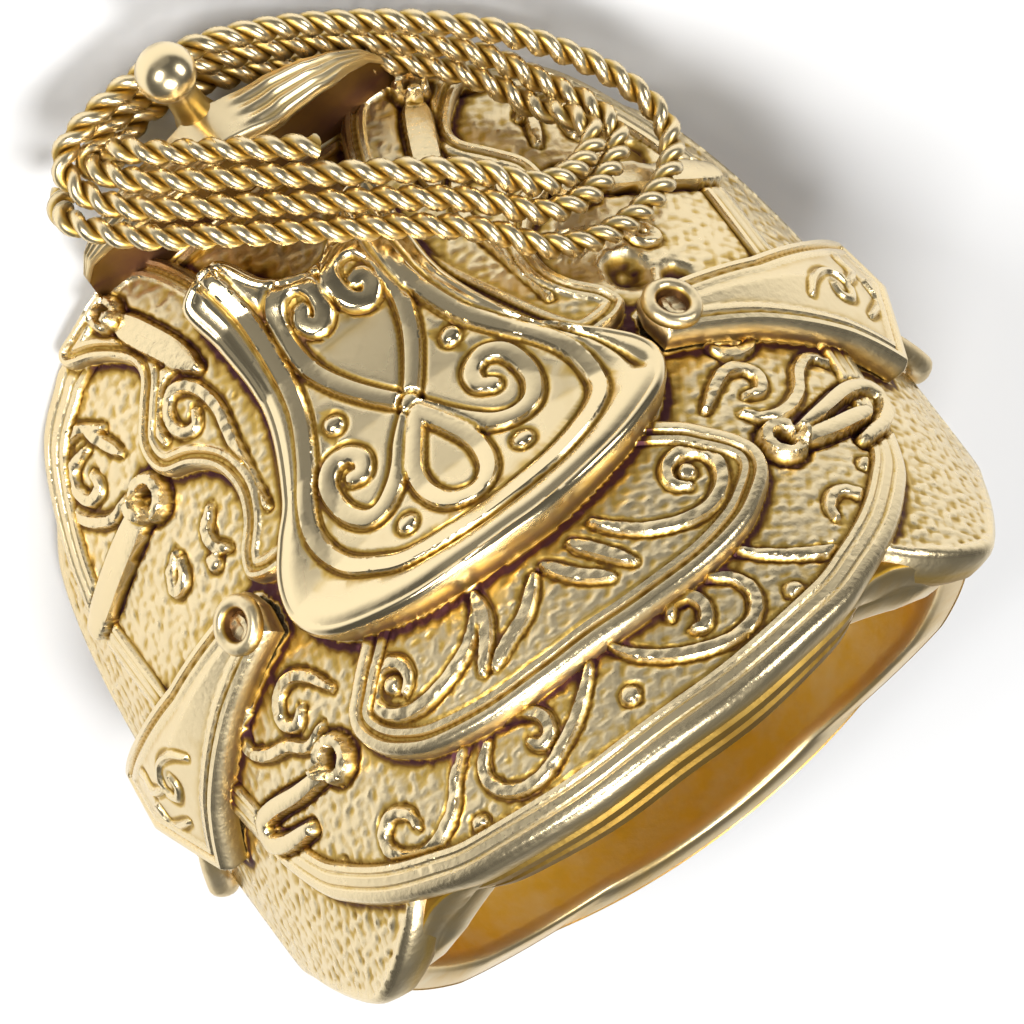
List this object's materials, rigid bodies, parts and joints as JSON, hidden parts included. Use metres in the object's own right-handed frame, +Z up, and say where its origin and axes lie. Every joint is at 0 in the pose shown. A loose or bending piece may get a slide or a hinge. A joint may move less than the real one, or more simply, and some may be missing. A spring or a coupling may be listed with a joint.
{
  "type": "saddle ring",
  "caption": "Cast finger ring whose head is a Western saddle with scrollwork, a horn with a coiled lasso, and riveted fenders with stirrups.",
  "frame": {"origin": "on the table, under the middle of the ring as it lies on its front", "axes": "+X to the wearer's side of the saddle on which the lasso hangs, +Y from the foot of the shank to the horn, +Z up; the finger's axis leans 23.4 degrees from +Z towards -Y"},
  "size_m": [0.028, 0.0354, 0.0238],
  "materials": {
    "gold": "polished, dark in the recesses"
  },
  "bodies": {
    "root": {"ring_body": "gold", "fender_left": "gold", "fender_right": "gold", "fender_rivet_left": "gold", "fender_rivet_right": "gold", "lasso": "gold"}
  },
  "joints": []
}
